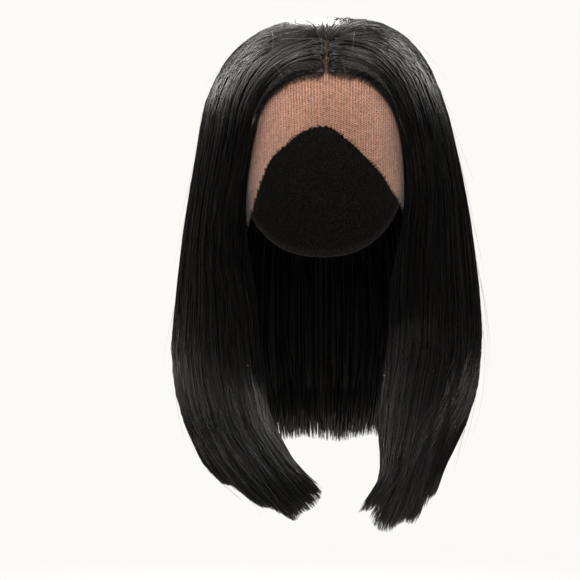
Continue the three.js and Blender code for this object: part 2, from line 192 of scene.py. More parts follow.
def spline(stations, share):
    """A smooth line through stations (count, stations, size), read at a share of its way (count)."""
    first = 2 * stations[:, :1] - stations[:, 1:2]
    last = 2 * stations[:, -1:] - stations[:, -2:-1]
    padded = np.concatenate([first, stations, last], axis=1)
    spans = stations.shape[1] - 1
    place = np.asarray(share) * spans
    index = np.clip(np.floor(place).astype(int), 0, spans - 1)
    way = (place - index)[:, None]
    row = np.arange(len(index)) if len(padded) > 1 else np.zeros(len(index), int)
    a, b, c, d = (padded[row, index + step] for step in range(4))
    return b + 0.5 * way * (c - a + way * (2 * a - 5 * b + 4 * c - d + way * (3 * (b - c) + d - a)))


def head_reach(direction, level=0.0):
    """How far the head's surface lies from a point inside it, along a direction."""
    def power(value, half):
        return np.abs(value / half) ** HEAD_ROUNDNESS

    length = np.where(direction[..., 1] < 0, HEAD_FRONT, HEAD_BACK)
    height = np.where(direction[..., 2] > 0, CROWN_RISE, NAPE_DROP)
    left = np.maximum(0, 1 - power(level, NAPE_DROP))
    used = (power(direction[..., 0], HEAD_HALF_WIDTH) + power(direction[..., 1], length)
            + power(direction[..., 2], height))
    return (left / used) ** (1 / HEAD_ROUNDNESS)


def toward(pitch, lateral):
    """Directions from the head's middle, by their angles in degrees about the line through the ears."""
    forward, sideways = np.radians(pitch), np.radians(lateral)
    return np.stack([
        np.sin(sideways),
        -np.cos(sideways) * np.sin(forward),
        np.cos(sideways) * np.cos(forward),
    ], axis=-1)


def over_head(pitch, lateral, offset):
    """Points over the head's surface."""
    direction = toward(pitch, lateral)
    return direction * (head_reach(direction) + offset)[..., None] + HEAD_MIDDLE


def outward(points):
    """The way out of the hair at some points, and how far out they and the head's surface lie."""
    middle = np.zeros_like(points)
    middle[..., 2] = np.minimum(points[..., 2], HEAD_MIDDLE[2])
    away = points - middle
    own = np.linalg.norm(away, axis=-1)
    direction = away / own[..., None]
    return middle, direction, own, head_reach(direction, middle[..., 2] - HEAD_MIDDLE[2])


def root_height(y, hair):
    """How high a flow line starts at the part, over the head and a depth of hair."""
    reach = np.abs(y / np.where(y < 0, HEAD_FRONT, HEAD_BACK))
    rise = CROWN_RISE * (1 - reach ** HEAD_ROUNDNESS) ** (1 / HEAD_ROUNDNESS)
    return HEAD_MIDDLE[2] + rise + HAIR_SEAT + hair


def dome_stations(root, temple, turn, fullness):
    """The upper part of flow lines: part of an oval from each root to the temple level."""
    turn = np.radians(turn)[:, None]
    angle = np.arange(DOME_STEPS) / DOME_STEPS * turn
    away = (np.sin(angle) / np.sin(turn)) ** fullness[:, None]
    level = (np.cos(angle) - np.cos(turn)) / (1 - np.cos(turn))
    return np.stack([
        lerp(root[:, :1], temple[:, :1], away),
        lerp(root[:, 1:2], temple[:, 1:2], away),
        lerp(temple[:, 2:], root[:, 2:], level),
    ], axis=-1)


def panel_flow(rows, side, dome):
    """The flow of a front panel: for ways across it, the points from the part to the tips."""
    def stations(across):
        angle = across[:, None] * math.pi / 2
        outer_y = SIDE_SEAM - rows["out"] * (FRONT_REACH + SIDE_SEAM)
        sag = rows["sag"] * np.sin(np.pi * np.sqrt(np.clip(across, 0, 1)))[:, None]
        sections = np.stack([
            side * lerp(rows["edge"], rows["side"], np.sin(angle)) * HAIR_HALF_WIDTH,
            lerp(outer_y, -rows["fore"] * FRONT_REACH, np.cos(angle)),
            -(rows["drop"] + rows["low"] * across[:, None] + sag) * HAIR_DROP,
        ], axis=-1)
        y = lerp(HAIRLINE_SETBACK - HEAD_FRONT, SIDE_SEAM, across)
        z = root_height(y, lerp(HAIRLINE_HAIR, CROWN_HAIR, across))
        root = np.stack([np.full_like(y, side * PART_WIDTH / 2), y, z], axis=-1)
        turn, fullness = (np.full(len(across), value) for value in dome)
        upper = dome_stations(root, sections[:, 0], turn, fullness)
        return np.concatenate([upper, sections], axis=1)
    return stations


def back_flow(across):
    """The flow of the back curtain, from the crown out and down."""
    angle = (2 * across[:, None] - 1) * math.pi / 2
    count = len(BACK_CURTAIN["rear"])
    is_left = angle < 0
    side = np.where(is_left, LEFT_PANEL["side"][:count], RIGHT_PANEL["side"][:count])
    drop = np.where(is_left, LEFT_PANEL["drop"][:count], RIGHT_PANEL["drop"][:count])
    rear = BACK_CURTAIN["rear"] * BACK_REACH
    start = lerp(SIDE_SEAM + PIECE_GAP, rear, BACK_CURTAIN["open"])
    sections = np.stack([
        np.sin(angle) * BACK_CURTAIN["spread"] * side * HAIR_HALF_WIDTH,
        lerp(start, rear, np.cos(angle)),
        -(drop + BACK_CURTAIN["sag"] * np.cos(angle)) * HAIR_DROP,
    ], axis=-1)
    root = np.stack([
        np.sin(angle[:, 0]) * CROWN_WHORL,
        SIDE_SEAM + PIECE_GAP + np.cos(angle[:, 0]) * CROWN_WHORL,
        np.full(len(across), root_height(SIDE_SEAM, CROWN_HAIR)),
    ], axis=-1)
    turn = lerp(LEFT_DOME[0], RIGHT_DOME[0], across)
    fullness = lerp(LEFT_DOME[1], RIGHT_DOME[1], across)
    return np.concatenate([dome_stations(root, sections[:, 0], turn, fullness), sections], axis=1)


class Hair:
    """A section of the hair: where it lies, how deep it is, and where its locks end."""

    def __init__(self, flow, rows, ends, trim=0, flare=NO_FLARE, whorl=None):
        self.flow = flow
        self.flare = flare
        self.whorl = whorl
        self.ends = np.array(ends) + trim
        self.walls = np.array([CROWN_WALL] * DOME_STEPS + list(rows["wall"]))[None, :, None]

    def at(self, across, along, depth, least=HAIR_SEAT):
        """Points at a depth under the outer surface, and never nearer the head than least."""
        depth = depth + self.settled(across, along)
        shape = np.broadcast(across, along, depth).shape
        across, along, depth = (np.broadcast_to(v, shape).ravel() for v in (across, along, depth))
        middle, direction, own, head = outward(spline(self.flow(across), along))
        reach = np.maximum(own, head + HAIR_SEAT + HAIRLINE_HAIR) - depth
        reach = np.maximum(reach, head + least)
        return (middle + direction * reach[:, None]).reshape(*shape, 3)

    def wall(self, along):
        return spline(self.walls, np.ravel(along))[:, 0].reshape(np.shape(along)) * HAIR_WALL

    def end(self, across):
        """Where the lock at this way across ends, as a share of the flow."""
        lock = np.clip(across * len(self.ends) - 0.5, 0, len(self.ends) - 1)
        return np.interp(lock, np.arange(len(self.ends)), self.ends)

    def relief(self, across, along):
        """How deep the surface lies by its locks, which stand up along their middles."""
        strip = (across * len(self.ends)) % 1
        ridge = -LOCK_RELIEF * np.sqrt(np.clip(along, 0, 1))
        return lerp(LOCK_EDGE_INSET, ridge, 4 * strip * (1 - strip))

    def behind(self, across):
        """How far what starts here lies under the fan of the crown, from 0 to 1."""
        return 1.0 if self.whorl is None else smooth(across, self.whorl, self.whorl + WHORL_FADE)

    def settled(self, across, along):
        """How deep the surface settles at the crown, and how it swells out below that."""
        sink = CROWN_SINK * self.behind(across) * (1 - smooth(along, *SINK_FADE))
        return sink - DOME_SWELL * smooth(along, *SWELL_RISE) * (1 - smooth(along, *SWELL_FADE))

    def gathered(self, across, along):
        """The way across of a strand, drawn in to the whorl where it starts behind the part."""
        if self.whorl is None:
            return across
        drawn = self.whorl + (across - self.whorl) * smooth(along, -FAN_REACH, FAN_REACH)
        return lerp(across, drawn, self.behind(across))

    def lapped(self, across, along):
        """The way across of a strand, laid over the seam at the crown where it starts beside that."""
        high = smooth(across, 1 - SEAM_BAND, 1)
        low = 1 - smooth(across, 0, SEAM_BAND) if self.whorl is None else 0
        return across + SEAM_LAP * (high - low) * (1 - smooth(along, *LAP_FADE))

    def flared(self, across, along, layer):
        """The way across at the tips, spread or drawn in, and by how deep the strand lies."""
        share, pivot, lean = self.flare
        return across + share * (across - pivot + lean * layer) * smooth(along, *FLARE_RANGE)


def mesh_object(name, points, quads, triangles=(), uv=None):
    """An object from arrays: points, faces of four and of three corners, and a tone for each point."""
    points = np.asarray(points, np.float32).reshape(-1, 3)
    quads = np.asarray(quads, np.int32).reshape(-1, 4)
    triangles = np.asarray(triangles, np.int32).reshape(-1, 3)
    corners = np.concatenate([quads.ravel(), triangles.ravel()])
    sizes = np.concatenate([np.full(len(quads), 4), np.full(len(triangles), 3)]).astype(np.int32)
    mesh = bpy.data.meshes.new(name)
    mesh.vertices.add(len(points))
    mesh.vertices.foreach_set("co", points.ravel())
    mesh.loops.add(len(corners))
    mesh.loops.foreach_set("vertex_index", corners)
    mesh.polygons.add(len(sizes))
    starts = np.concatenate([[0], np.cumsum(sizes)[:-1]]).astype(np.int32)
    mesh.polygons.foreach_set("loop_start", starts)
    mesh.polygons.foreach_set("loop_total", sizes)
    mesh.update(calc_edges=True)
    mesh.shade_smooth()
    if uv is not None:
        layer = mesh.uv_layers.new(name="strand")
        layer.data.foreach_set("uv", np.asarray(uv, np.float32).reshape(-1, 2)[corners].ravel())
    thing = bpy.data.objects.new(name, mesh)
    bpy.context.scene.collection.objects.link(thing)
    return thing


# The outline of a strand, as shares of its half width and half thickness, and how flat it is
STRAND_OUTLINE = np.array([(0, 1), (-1, -0.6), (1, -0.6)])
STRAND_FLATNESS = 0.6


def strands(name, lines, width, taper, tone, flatness=STRAND_FLATNESS):
    """Closed strands along lines (count, steps, 3). taper (count or 1, steps) narrows their width."""
    count, steps = lines.shape[:2]
    tangent = unit(np.gradient(lines, axis=1))
    out = outward(lines)[1]
    out = unit(out - tangent * (out * tangent).sum(-1, keepdims=True))
    side = np.cross(tangent, out)
    half = 0.5 * np.broadcast_to(width, (count,))[:, None] * taper
    rings = (lines[:, :, None]
             + STRAND_OUTLINE[:, 0, None] * (side * half[..., None])[:, :, None]
             + STRAND_OUTLINE[:, 1, None] * (out * half[..., None] * flatness)[:, :, None])
    sides = len(STRAND_OUTLINE)
    first = np.arange(count)[:, None, None] * steps * sides
    ring = np.arange(steps - 1)[None, :, None] * sides
    corner = np.arange(sides)[None, None, :]
    here, there = first + ring + corner, first + ring + (corner + 1) % sides
    quads = np.stack([here, there, there + sides, here + sides], axis=-1)
    last = (steps - 1) * sides
    ends = np.array([[0, 2, 1], [last, last + 1, last + 2]])
    caps = first + ends[None]
    way = np.linspace(0, 1, steps)
    uv = np.stack(np.broadcast_arrays(tone[:, None, None], way[None, :, None] + 0 * corner), axis=-1)
    return mesh_object(name, rings, quads, caps, uv)


def wall_grid(name, outer, inner):
    """A closed wall between two grids of points, joined along their four edges."""
    rows, columns = outer.shape[:2]
    index = np.arange(rows * columns).reshape(rows, columns)
    face = np.stack([index[:-1, :-1], index[:-1, 1:], index[1:, 1:], index[1:, :-1]], axis=-1)
    face = face.reshape(-1, 4)
    rim = np.concatenate([index[0, :], index[1:, -1], index[-1, -2::-1], index[-2:0:-1, 0]])
    after = np.roll(rim, -1)
    under = rows * columns
    sides = np.stack([rim, rim + under, after + under, after], axis=-1)
    quads = np.concatenate([face, face[:, ::-1] + under, sides])
    return mesh_object(name, np.concatenate([outer.reshape(-1, 3), inner.reshape(-1, 3)]), quads)


# How far strands wander, as a share of the way across and in metres of depth, and in how many waves
WANDER_ACROSS = 0.004
WANDER_DEPTH = 0.0003
WANDER_WAVES = (0.4, 1.6)

# Their share of the locks' relief, how far over the head they stay, and how short their last step is
RELIEF_SHARE = 0.4
STRAND_SEAT = HAIR_SEAT + 0.0004
LAST_STEP = 0.05

# Where along the flow the round edge of the hair beside the face ends
FACE_EDGE_FADE = (0.3, 0.5)

# The streaks: how many groups of strands share a wave in each lock, its height, and its length
GROUPS_IN_LOCK = 11
GROUP_HEIGHT = 0.0006
GROUP_WAVES = (0.8, 2.2)


def evenly(steps):
    return np.linspace(0, 1, steps)[None]


class Draws:
    """The random draws of one set of strands, in the order in which they are asked for."""

    def __init__(self, count, seed):
        self.count = count
        self.random = np.random.default_rng(seed)

    def share(self):
        return self.random.random((self.count, 1))

    def between(self, low, high):
        return self.random.uniform(low, high, (self.count, 1))

    def around(self, size):
        return self.random.normal(0, size, (self.count, 1))

    def start(self, first, spread):
        return first + spread * self.share()

    def across(self):
        """Ways across the hair, spread evenly and in no order."""
        return (self.random.permutation(self.count) + self.random.random(self.count))[:, None] / self.count

    def ways(self, steps, last):
        """Ways along strands in uneven steps, so that no row of corners shows, with a short last one."""
        inside = np.repeat(np.linspace(0, 1 - last, steps - 1)[None], self.count, axis=0)
        inside[:, 1:-1] += (self.share() - 0.5) / (steps - 1)
        return np.concatenate([inside, np.ones((self.count, 1))], axis=1)

    def wander(self, way, size):
        """Slow waves along strands, each with its own size, length and phase."""
        rate, phase = self.between(*WANDER_WAVES), self.share()
        return size * self.around(1) * np.sin(2 * np.pi * (rate * way + phase)) * np.sqrt(way)

    def group_waves(self, across, way, groups):
        """Waves in depth that neighbouring strands share, so that the light catches them in streaks."""
        group = np.clip((across * groups).astype(int), 0, groups - 1)
        rate = self.random.uniform(*GROUP_WAVES, groups)[group]
        phase = self.random.random(groups)[group]
        return GROUP_HEIGHT * np.sin(2 * np.pi * (rate * way + phase))

    def ends(self, hair, across, longest, uneven, lean):
        """Where strands end along the flow: at the end of their lock, and some a little short of it."""
        return hair.end(across) * (longest - uneven * self.random.random(across.shape) ** lean)

    def strands(self, name, lines, widths, taper):
        """Strands of their own tones, whose widths are shares of one width between two limits."""
        width, least, most = widths
        wide = width * self.random.uniform(least, most, self.count)
        return strands(name, lines, wide, taper, self.random.random(self.count))


def face_edge(across, along, drop, band):
    """How much deeper the hair lies beside the hairline and the face, where its edge is round."""
    return drop * (1 - smooth(across, 0, band)) * (1 - smooth(along, *FACE_EDGE_FADE))


def blunt(steps, root, tip):
    """The widths of strands that are full all along, apart from their first and last corners."""
    taper = np.ones((1, steps))
    taper[:, 0], taper[:, -1] = root, tip
    return taper


def pointed(way, narrowing, start, root=(-1, 0)):
    """The widths of strands that narrow by a share from a start on, and grow at the root."""
    return smooth(way, *root) * (1 - narrowing * smooth(way, start, 1))


# In the values below, WIDTHS, CUT and TAPER are what Draws.strands, Draws.ends and pointed take

# The outer strands: their steps and how these crowd at the roots, their ends, and how their tips gather
OUTER_STEPS = 19
OUTER_CROWDING = 1.45
OUTER_LAST_STEP = 0.03
OUTER_ROOTS = (0.006, 0.04)
OUTER_CUT = (1.004, 0.03, 1.6)
OUTER_GATHER = 0.5
OUTER_GATHER_RANGE = (0.88, 1)

# The outer strands: their widths, depth, flare, edge and dip, and how they close in on the part
OUTER_WIDTHS = (0.00065, 0.55, 1.25)
OUTER_DEPTH = 0.0021
OUTER_LEAN = 1.2
OUTER_FLARE = 0.3
OUTER_EDGE = (0.003, 0.07)
OUTER_DIP = (0.014, 0.002)
DIP_END = (0.004, 0.02)
CLOSING = (0.0011, 0.7, 0.02)


def outer_strands(name, hair, count, seed):
    """The long strands of the outer face, from their roots to the tips."""
    draw = Draws(count, seed)
    across = draw.across()
    way = draw.ways(OUTER_STEPS, OUTER_LAST_STEP)
    behind = hair.behind(across)
    part_root, crown_root = OUTER_ROOTS
    start = lerp(part_root * draw.share() ** 2, crown_root * draw.share(), behind)
    along = lerp(start, draw.ends(hair, across, *OUTER_CUT), way ** OUTER_CROWDING)
    groups = GROUPS_IN_LOCK * len(hair.ends)
    gather = OUTER_GATHER * smooth(along, *OUTER_GATHER_RANGE) * draw.share()
    middle = (np.floor(across * groups) + 0.5) / groups
    bent = lerp(across, middle, gather) + draw.wander(way, WANDER_ACROSS)
    bent = hair.lapped(hair.gathered(np.clip(bent, 0, 1), along), along)
    dip_end = draw.between(*DIP_END)
    dip = lerp(*OUTER_DIP, behind) * (1 - smooth(along - behind * start, 0, dip_end))
    layer = draw.share() ** OUTER_LEAN
    depth = OUTER_DEPTH * layer + face_edge(across, along, *OUTER_EDGE) + dip
    depth = depth + RELIEF_SHARE * hair.relief(bent, along)
    depth = depth + draw.group_waves(across, way, groups) + draw.wander(way, WANDER_DEPTH)
    lines = hair.at(hair.flared(bent, along, OUTER_FLARE * layer), along, depth, STRAND_SEAT)
    reach, lean, end = CLOSING
    closing = reach * draw.share() ** lean * (1 - smooth(along, 0, end))
    lines[..., 0] -= np.sign(lines[..., 0]) * closing
    return draw.strands(name, lines, OUTER_WIDTHS, blunt(OUTER_STEPS, root=0.5, tip=0.3))


# The tips: where they start along the flow, how they gather and draw together, and how deep they lie
TIP_STEPS = 8
TIP_FROM = (0.76, 0.08)
TIP_CUT = (1.006, 0.024, 1.5)
TIP_GROUPS = 9
TIP_MIXING = 0.25
TIP_GATHER_RANGE = (0.9, 1.01)
TIP_THINNING = 0.35
TIP_THINNING_RANGE = (0.9, 1)
TIP_OUTSIDE = 0.001
TIP_INSIDE = 0.0005
TIP_RELIEF = 0.3
TIP_WIDTHS = (0.0008, 0.6, 1.2)
TIP_TAPER = (0.7, 0.84, (-0.2, 0.15))


def tip_strands(name, hair, count, gather, seed):
    """The ends of the strands through the whole depth of the hair, cut to nearly one length."""
    draw = Draws(count, seed)
    across = draw.across()
    way = evenly(TIP_STEPS)
    end = draw.ends(hair, across, *TIP_CUT)
    along = lerp(draw.start(*TIP_FROM), end, way)
    groups = TIP_GROUPS * len(hair.ends)
    group = np.floor(across * groups + draw.around(TIP_MIXING))
    middle = (group + 0.5) / groups
    gathered = gather * smooth(along, *TIP_GATHER_RANGE) * draw.share() ** 0.5
    layer = draw.share()
    bent = hair.flared(np.clip(lerp(across, middle, gathered), 0, 1), along, layer)
    share = lerp(layer, 0.5, TIP_THINNING * smooth(along, *TIP_THINNING_RANGE))
    depth = lerp(TIP_OUTSIDE, hair.wall(along) - TIP_INSIDE, share)
    lines = hair.at(bent, along, depth + TIP_RELIEF * hair.relief(bent, along))
    return draw.strands(name, lines, TIP_WIDTHS, pointed(way, *TIP_TAPER))


# The inner strands: where they start, how many lie in the side edges, how wide those are, and their depth
INNER_STEPS = 9
INNER_FROM = (0.3, 0.08)
INNER_CUT = (0.998, 0.035, 1)
SIDE_EDGE_SHARE = 0.35
SIDE_EDGE_WIDTH = 0.03
INNER_LAYER = 0.1
INNER_INSIDE = 0.0004
INNER_WIDTHS = (0.0011, 0.7, 1.3)


def inner_strands(name, hair, count, seed):
    """The strands of the inner face and of the two side edges, which show past the face."""
    draw = Draws(count, seed)
    across = draw.across()
    is_edge = draw.share() < SIDE_EDGE_SHARE
    nearest = np.where(across < 0.5, SIDE_EDGE_WIDTH * across, 1 - SIDE_EDGE_WIDTH * (1 - across))
    across = np.where(is_edge, nearest, across)
    way = draw.ways(INNER_STEPS, LAST_STEP)
    end = draw.ends(hair, across, *INNER_CUT)
    along = lerp(draw.start(*INNER_FROM), end, way)
    edge_layer = draw.share()
    layer = np.where(is_edge, edge_layer, 1 - INNER_LAYER * draw.share())
    depth = layer * (hair.wall(along) - INNER_INSIDE)
    bent = np.clip(across + draw.wander(way, WANDER_ACROSS), 0, 1)
    lines = hair.at(hair.flared(bent, along, layer), along, depth)
    return draw.strands(name, lines, INNER_WIDTHS, blunt(INNER_STEPS, root=0.4, tip=0.3))


# The lock that sweeps over the right panel: where it starts, how far it reaches, and how deep it lies
SWEEP_STEPS = 12
SWEEP_ACROSS = (0.5, 0.98)
SWEEP_REACH = (0.3, 0.5)
SWEEP_END = (0.95, 1)
SWEEP_FROM = (0.6, 0.12)
SWEEP_BEND_END = 1.15
SWEEP_DIP = 0.0025
SWEEP_DIP_END = 0.3
SWEEP_DEPTH = 0.0014
SWEEP_LIFT = 0.0006
SWEEP_WIDTHS = (0.0006, 0.6, 1.2)
SWEEP_TAPER = (0.7, 0.85, (-0.2, 0.1))


def sweep_strands(name, hair, count, seed):
    """A thin lock over the outer face, which sweeps from its outer side down to the tips at the face."""
    draw = Draws(count, seed)
    way = draw.ways(SWEEP_STEPS, LAST_STEP)
    start = draw.between(*SWEEP_ACROSS)
    reach = draw.between(*SWEEP_REACH)
    end = hair.end(start) * draw.between(*SWEEP_END)
    along = lerp(draw.start(*SWEEP_FROM), end, way)
    across = start - reach * smooth(way, 0, SWEEP_BEND_END) + draw.wander(way, WANDER_ACROSS)
    layer = draw.share()
    depth = lerp(SWEEP_DIP, SWEEP_DEPTH * layer - SWEEP_LIFT, smooth(way, 0, SWEEP_DIP_END))
    lines = hair.at(hair.flared(across, along, OUTER_FLARE * layer), along, depth)
    return draw.strands(name, lines, SWEEP_WIDTHS, pointed(way, *SWEEP_TAPER))


# The short strands at the hairline: how far along it they go, how they lean and bend, and their depth
ROOT_STEPS = 6
HAIRLINE_END = 0.41
ROOT_LEAN = 1.5
ROOT_BEND = 1.3
ROOT_LENGTH = (0.02, 0.06)
ROOT_DEPTH = 0.012
ROOT_RISE = (0.5, 1)
ROOT_SEAT = NET_WALL + 0.0002
ROOT_START_WIDTH = 0.45
ROOT_FULL_FROM = 0.5
ROOT_NARROWING = (0.6, 0.8)


def root_strands(name, hair, count, widths, ahead, reach, under, seed):
    """Short strands that leave the lace ahead of the hairline, reach back, and end a little under."""
    draw = Draws(count, seed)
    way = evenly(ROOT_STEPS)
    start = HAIRLINE_END * draw.across()
    before = ahead * draw.share() ** ROOT_LEAN
    across = -before + way * (before + draw.between(*reach))
    along = start + way ** ROOT_BEND * draw.between(*ROOT_LENGTH)
    depth = lerp(ROOT_DEPTH, under, smooth(way, 0, draw.between(*ROOT_RISE)))
    lines = hair.at(across, along, depth, ROOT_SEAT)
    narrowing, narrow_from = ROOT_NARROWING
    taper = lerp(ROOT_START_WIDTH, 1, smooth(way, 0, ROOT_FULL_FROM))
    taper = taper - narrowing * smooth(way, narrow_from, 1)
    return draw.strands(name, lines, widths, taper)


# Single hairs: where along the flow they start, their length, drift and curl, and how deep they start
FLYAWAY_STEPS = 12
FLYAWAY_START = (0.1, 0.8)
FLYAWAY_LENGTH = (0.08, 0.3)
FLYAWAY_DRIFT = 0.03
FLYAWAY_CURL = (0.8, 2)
FLYAWAY_DEPTH = 0.001
FLYAWAY_WIDTHS = (0.00026, 0.7, 1.2)
FLYAWAY_TAPER = (0.8, 0.6, (-0.1, 0.1))


def flyaways(name, hair, count, reach, place, seed):
    """Single hairs that leave the surface and curve away from it."""
    draw = Draws(count, seed)
    way = evenly(FLYAWAY_STEPS)
    start = draw.between(*FLYAWAY_START)
    along = np.minimum(start + way * draw.between(*FLYAWAY_LENGTH), 1)
    sideways = draw.around(FLYAWAY_DRIFT) * way ** 2
    across = draw.between(*place) + sideways + draw.wander(way, WANDER_ACROSS)
    lift = reach * draw.share() ** 2 * way ** draw.between(*FLYAWAY_CURL)
    lines = hair.at(across, along, FLYAWAY_DEPTH - lift)
    return draw.strands(name, lines, FLYAWAY_WIDTHS, pointed(way, *FLYAWAY_TAPER))


# The mass of hair under the strands: its grid, and where it starts and ends
SHELL_STEPS = 44
SHELL_COLUMNS = 75
SHELL_CROWDING = 1.2
SHELL_FRONT = 0.02
SHELL_SEAM = 0.002
SHELL_START = (0.012, 0.0005)
SHELL_CUT = (0.972, 0.014, 1)

# The mass of hair: its depths, grooves, edge and dip, and how it closes at its ends
SHELL_DEPTH = 0.0026
SHELL_INSIDE = 0.0012
SHELL_LEAST = 0.0008
SHELL_SEAT = HAIR_SEAT + 0.0012
SHELL_GROOVE = 0.0008
SHELL_EDGE = (0.002, 0.1)
SHELL_DIP = (0.01, 0.002)
SHELL_DIP_END = 0.03
SHELL_CLOSING = 0.7
SHELL_CLOSING_RANGE = (0.9, 1)


def shell(name, hair, seed):
    """The mass of hair under the strands, grooved along its flow."""
    draw = Draws(SHELL_COLUMNS, seed)
    first = SHELL_SEAM if hair.whorl is None else SHELL_FRONT
    across = np.linspace(first, 1 - SHELL_SEAM, SHELL_COLUMNS)[None]
    way = np.linspace(0, 1, SHELL_STEPS)[:, None]
    behind = hair.behind(across)
    start = lerp(*SHELL_START, behind)
    end = draw.ends(hair, across, *SHELL_CUT)
    along = lerp(start, end, way ** SHELL_CROWDING)
    is_groove = (np.arange(SHELL_COLUMNS) % 2)[None]
    groove = SHELL_GROOVE * is_groove * draw.between(0.5, 1).T
    edge = face_edge(across, along, *SHELL_EDGE)
    dip = lerp(*SHELL_DIP, behind) * (1 - smooth(along, 0, SHELL_DIP_END))
    outer = SHELL_DEPTH + groove + edge + dip + RELIEF_SHARE * hair.relief(across, along)
    inner = hair.wall(along) - SHELL_INSIDE
    middle = (outer + inner) / 2
    close = SHELL_CLOSING * smooth(along / end, *SHELL_CLOSING_RANGE)
    thin = lerp(outer, middle, close)
    thick = np.maximum(lerp(inner, middle, close), thin + SHELL_LEAST)
    bent = hair.flared(across, along, 0.5)
    return wall_grid(
        name,
        hair.at(bent, along, thin, SHELL_SEAT),
        hair.at(bent, along, thick, STRAND_SEAT),
    )


# The grid that the crown's surface is read from, where it ends, and how local a reading is
SURFACE_ACROSS = 31
SURFACE_ALONG = 21
SURFACE_END = 0.45
SURFACE_SHARPNESS = 520


class Crown:
    """The outer surface of all the hair over the crown, by directions from the head's middle."""

    def __init__(self, sections):
        across = np.linspace(0, 1, SURFACE_ACROSS)[None]
        along = np.linspace(0, SURFACE_END, SURFACE_ALONG)[:, None]
        points = np.concatenate([hair.at(across, along, 0.0).reshape(-1, 3) for hair in sections])
        self.reach = np.linalg.norm(points - HEAD_MIDDLE, axis=1)
        self.directions = (points - HEAD_MIDDLE) / self.reach[:, None]
        root_y = lerp(HAIRLINE_SETBACK - HEAD_FRONT, SIDE_SEAM, WHORL_ACROSS)
        root_z = root_height(root_y, lerp(HAIRLINE_HAIR, CROWN_HAIR, WHORL_ACROSS))
        self.whorl = math.degrees(math.atan2(-root_y, root_z - HEAD_MIDDLE[2]))

    def at(self, direction, depth):
        """Points at a depth under the surface, by the mean of what lies near each direction."""
        near = np.exp(SURFACE_SHARPNESS * (direction.reshape(-1, 3) @ self.directions.T - 1))
        mean = (near @ self.reach / near.sum(axis=1)).reshape(direction.shape[:-1])
        return HEAD_MIDDLE + direction * (mean - depth)[..., None]

    def arcs(self, pitch, lateral, turn, arc):
        """Directions along arcs from places, each turned from straight back, all in degrees."""
        start = toward(pitch, lateral)
        behind = toward(pitch - 90, lateral)
        back = unit(behind - start * (start * behind).sum(-1, keepdims=True))
        side = np.cross(back, start)
        turn, arc = np.radians(turn)[..., None], np.radians(arc)[..., None]
        return np.cos(arc) * start + np.sin(arc) * (np.cos(turn) * back + np.sin(turn) * side)


# The fan over the crown, in degrees: its width, and where its strands start, their length and their bend
CROWN_STEPS = 11
FAN_HALF_ANGLE = 100
FAN_LEAN = 1.2
FAN_START = 52
FAN_FIRST_START = 4
FAN_FIRST_SHARE = 0.35
FAN_LENGTH = (22, 42)
FAN_BEND = 3
FAN_SHORTENING = 0.35

# The fan: how deep its strands start, lie and end, with where that changes along them
FAN_ROOT = (0.004, 0.15)
FAN_TIP = (0.0015, 0.8)
FAN_DEPTH = 0.0014
FAN_LIFT = 0.001
FAN_WANDER = 0.0002
FAN_WIDTHS = (0.0007, 0.6, 1.2)


def crown_strands(name, crown, count, seed):
    """The strands that fan out from the whorl at the end of the part, back over the crown."""
    draw = Draws(count, seed)
    way = evenly(CROWN_STEPS)
    pull = draw.between(-1, 1)
    turn = FAN_HALF_ANGLE * np.sign(pull) * np.abs(pull) ** FAN_LEAN
    short = 1 - FAN_SHORTENING * np.sin(np.radians(turn)) ** 2
    is_first = draw.share() < FAN_FIRST_SHARE
    start = np.where(is_first, FAN_FIRST_START, FAN_START * short) * np.sqrt(draw.share())
    arc = start + short * draw.between(*FAN_LENGTH) * way
    bend = draw.around(FAN_BEND) * way
    place = crown.whorl + np.zeros((count, 1))
    direction = crown.arcs(place, 0 * place, turn + bend, arc)
    root, root_end = FAN_ROOT
    tip, tip_start = FAN_TIP
    depth = FAN_DEPTH * draw.share() - FAN_LIFT + root * (1 - smooth(way, 0, root_end))
    depth = depth + tip * smooth(way, tip_start, 1)
    lines = crown.at(direction, depth + draw.wander(way, FAN_WANDER))
    return draw.strands(name, lines, FAN_WIDTHS, blunt(CROWN_STEPS, root=0.5, tip=0.2))


# The tufts at the whorl: where they start and how long they are, in degrees, and how high they stand
SHORT_STEPS = 5
WHORL_TUFTS = 12
WHORL_HALF_ANGLE = 80
WHORL_LENGTH = (8, 15)
WHORL_PITCH = (-3.5, 1)
WHORL_LATERAL = (-0.7, 0.7)
TUFT_SPREAD = 9
TUFT_LENGTHS = (0.7, 1)
WHORL_LIFT = (0.002, 0.0055)
WHORL_BOW = 0.75
WHORL_DEPTH = 0.006
WHORL_WIDTHS = (0.0006, 0.6, 1.2)
WHORL_TAPER = (0.8, 0.4)


def whorl_strands(name, crown, count, seed):
    """The short dark hairs that stand up around the end of the part."""
    draw = Draws(count, seed)
    way = evenly(SHORT_STEPS)
    tuft = draw.random.integers(0, WHORL_TUFTS, (count, 1))
    tuft_turn = lerp(-WHORL_HALF_ANGLE, WHORL_HALF_ANGLE, tuft / (WHORL_TUFTS - 1))
    turn = tuft_turn + draw.around(TUFT_SPREAD) * (1 - way)
    tuft_length = draw.random.uniform(*WHORL_LENGTH, WHORL_TUFTS)[tuft]
    arc = tuft_length * draw.between(*TUFT_LENGTHS) * way
    place = crown.whorl + draw.between(*WHORL_PITCH)
    direction = crown.arcs(place, draw.between(*WHORL_LATERAL), turn, arc)
    lift = draw.between(*WHORL_LIFT) * np.sin(WHORL_BOW * np.pi * way)
    lines = crown.at(direction, WHORL_DEPTH * (1 - smooth(way, 0, 0.5)) - lift)
    return draw.strands(name, lines, WHORL_WIDTHS, pointed(way, *WHORL_TAPER))


